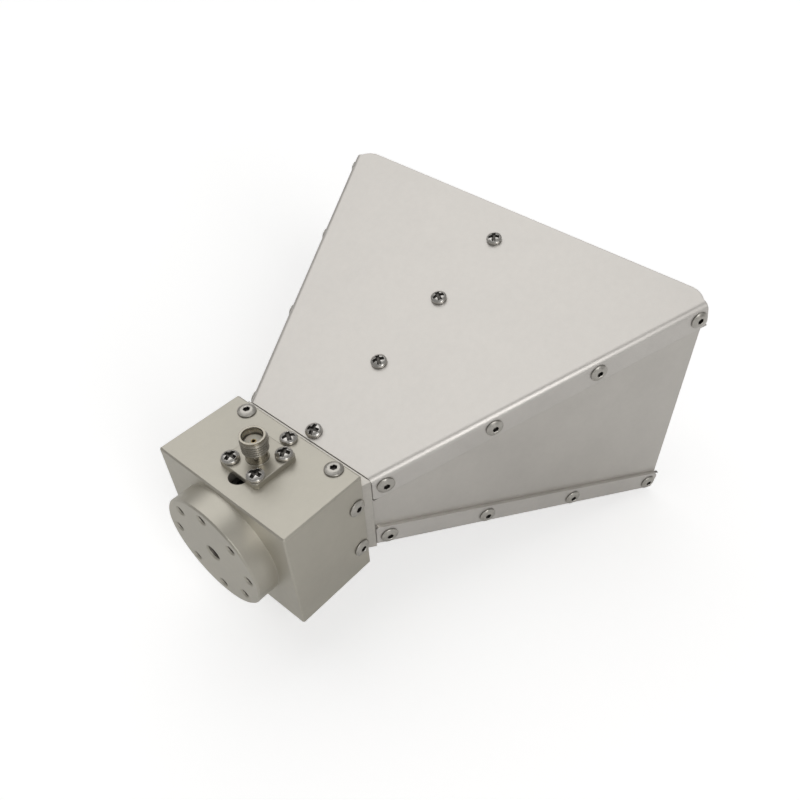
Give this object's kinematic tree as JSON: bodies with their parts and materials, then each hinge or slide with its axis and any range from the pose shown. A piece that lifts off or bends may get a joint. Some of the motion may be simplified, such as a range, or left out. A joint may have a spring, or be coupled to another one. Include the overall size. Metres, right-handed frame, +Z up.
{
  "type": "horn antenna",
  "caption": "Double-ridged sheet-metal horn antenna with a machined feed block, a coaxial jack on top and a round threaded boss on its back.",
  "frame": {"origin": "centre of the round rear boss's mounting face, where the boresight leaves the antenna", "axes": "+X along the boresight towards the aperture, +Z up through the coaxial jack, +Y to the left"},
  "size_m": [0.1196, 0.1246, 0.0734],
  "materials": {
    "block_aluminium": "satin clear-anodised, machined",
    "cover_aluminium": "satin clear-anodised sheet",
    "ridge_aluminium": "satin clear-anodised, milled",
    "jack_nickel": "passivated, turned",
    "jack_ptfe": "fluoropolymer",
    "contact_gold": "gold plated",
    "screw_steel": "stainless",
    "dark_screw_steel": "blackened"
  },
  "bodies": {
    "root": {"feed_block": "block_aluminium", "throat_frame": "block_aluminium", "jack_body": "jack_nickel", "jack_insulator": "jack_ptfe", "jack_contact": "contact_gold", "upper_ridge": "ridge_aluminium", "lower_ridge": "ridge_aluminium", "upper_cover": "cover_aluminium", "lower_cover": "cover_aluminium", "left_panel": "cover_aluminium", "right_panel": "cover_aluminium", "jack_screws": "screw_steel", "upper_cover_screws": "screw_steel", "lower_cover_screws": "screw_steel", "upper_ridge_screw": "screw_steel", "lower_ridge_screw": "screw_steel", "ridge_cap_screws": "dark_screw_steel", "frame_screws": "screw_steel", "left_flange_screws": "screw_steel", "right_flange_screws": "screw_steel", "left_neck_screws": "screw_steel", "right_neck_screws": "screw_steel"}
  },
  "joints": []
}
